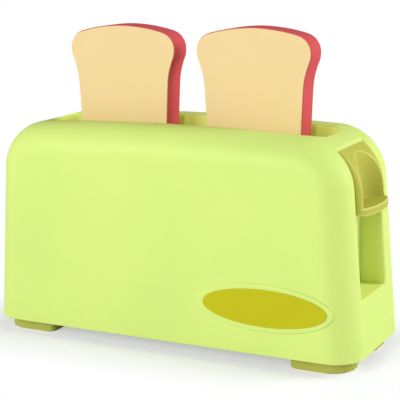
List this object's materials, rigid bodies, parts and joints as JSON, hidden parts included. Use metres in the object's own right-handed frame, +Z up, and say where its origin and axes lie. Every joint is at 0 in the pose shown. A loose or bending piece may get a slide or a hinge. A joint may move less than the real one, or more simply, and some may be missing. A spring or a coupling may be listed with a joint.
{
  "type": "toy toaster",
  "caption": "Toy toaster: a rounded shell with a long top slot, play toast slices in a sprung carriage, and a scooped finger lever that slides down in a channel at one end.",
  "frame": {"origin": "on the surface that the feet stand on, below the middle of the casing", "axes": "+X along the casing towards the lever end, +Y towards the back, +Z up"},
  "size_m": [0.2019, 0.066, 0.1566],
  "materials": {
    "lime_plastic": "smooth semi-gloss moulded plastic",
    "olive_plate_plastic": "smooth moulded plastic",
    "olive_lever_plastic": "smooth semi-gloss moulded plastic",
    "carriage_plastic": "satin moulded plastic",
    "crust_plastic": "smooth semi-gloss moulded plastic",
    "crumb_plastic": "satin moulded plastic",
    "bright_steel": "ground steel rod",
    "spring_steel": "drawn spring steel",
    "zinc_plated_steel": "zinc plated"
  },
  "bodies": {
    "casing": {"housing": "lime_plastic", "base_plate": "olive_plate_plastic", "base_screw_1": "zinc_plated_steel", "base_screw_2": "zinc_plated_steel", "base_screw_3": "zinc_plated_steel", "base_screw_4": "zinc_plated_steel", "clip_screw": "zinc_plated_steel", "guide_post_left": "bright_steel", "guide_post_right": "bright_steel", "stop_ring_left": "spring_steel", "stop_ring_right": "spring_steel", "carriage_spring_left": "spring_steel", "carriage_spring_right": "spring_steel", "catch_clip": "spring_steel"},
    "carriage": {"carriage": "carriage_plastic", "lever": "olive_lever_plastic"},
    "toast_left": {"toast_left_crust": "crust_plastic", "toast_left_crumb_front": "crumb_plastic", "toast_left_crumb_back": "crumb_plastic"},
    "toast_right": {"toast_right_crust": "crust_plastic", "toast_right_crumb_front": "crumb_plastic", "toast_right_crumb_back": "crumb_plastic"}
  },
  "joints": [
    {"name": "lever_slide", "type": "slide", "parent": "casing", "child": "carriage", "axis": [0, 0, -1], "range_m": [0, 0.0365], "stiffness_N_per_m": 60, "springref_m": -0.04, "deforming": ["carriage_spring_left", "carriage_spring_right"]},
    {"name": "toast_left_lift", "type": "slide", "parent": "carriage", "child": "toast_left", "axis": [0, 0, 1], "range_m": [0, 0.03]},
    {"name": "toast_right_lift", "type": "slide", "parent": "carriage", "child": "toast_right", "axis": [0, 0, 1], "range_m": [0, 0.03]}
  ]
}
